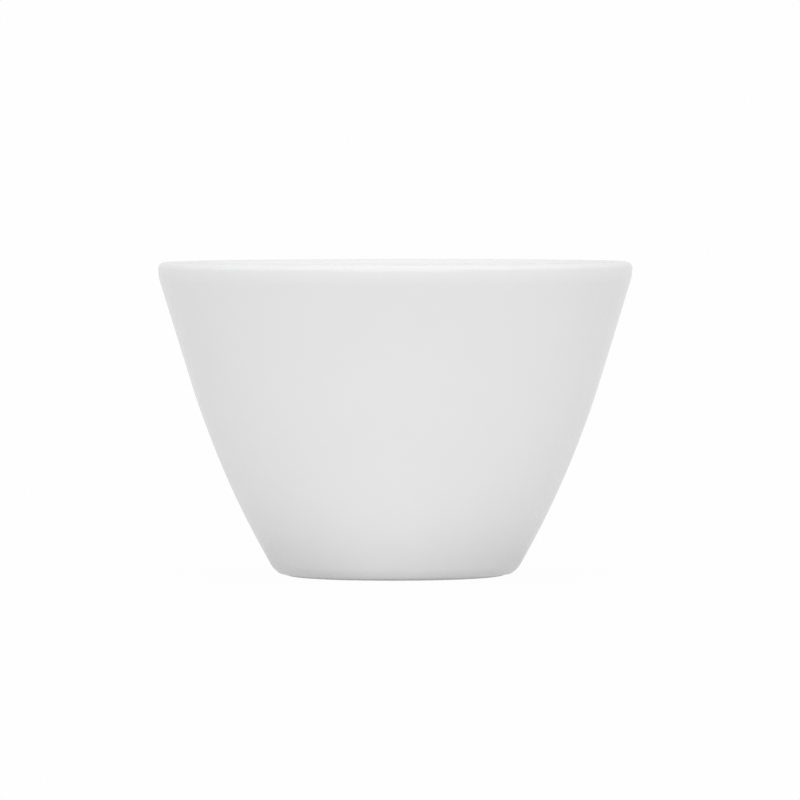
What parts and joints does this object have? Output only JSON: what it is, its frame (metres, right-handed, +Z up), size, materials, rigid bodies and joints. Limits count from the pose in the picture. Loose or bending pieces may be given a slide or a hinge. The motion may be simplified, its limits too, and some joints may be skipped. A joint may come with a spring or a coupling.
{
  "type": "latte bowl",
  "caption": "Handleless white porcelain bowl for milk coffee, with a wide upright lip, a straight leaning wall, a softly curved lower wall and a narrow bare foot.",
  "frame": {"origin": "centre of the standing face, on the surface that the bowl stands on", "axes": "+Z up along the axis that the bowl is turned about; it is the same all round, so +X and +Y are free"},
  "size_m": [0.12, 0.12, 0.0795],
  "materials": {
    "bare_porcelain": "dense fired porcelain, matt and very slightly warm where the glaze is wiped off the foot",
    "white_glaze": "neutral white under a clear, smooth, fully glossy glaze"
  },
  "bodies": {
    "root": {"porcelain_body": "bare_porcelain", "glaze_coat": "white_glaze", "underside_glaze": "white_glaze"}
  },
  "joints": []
}
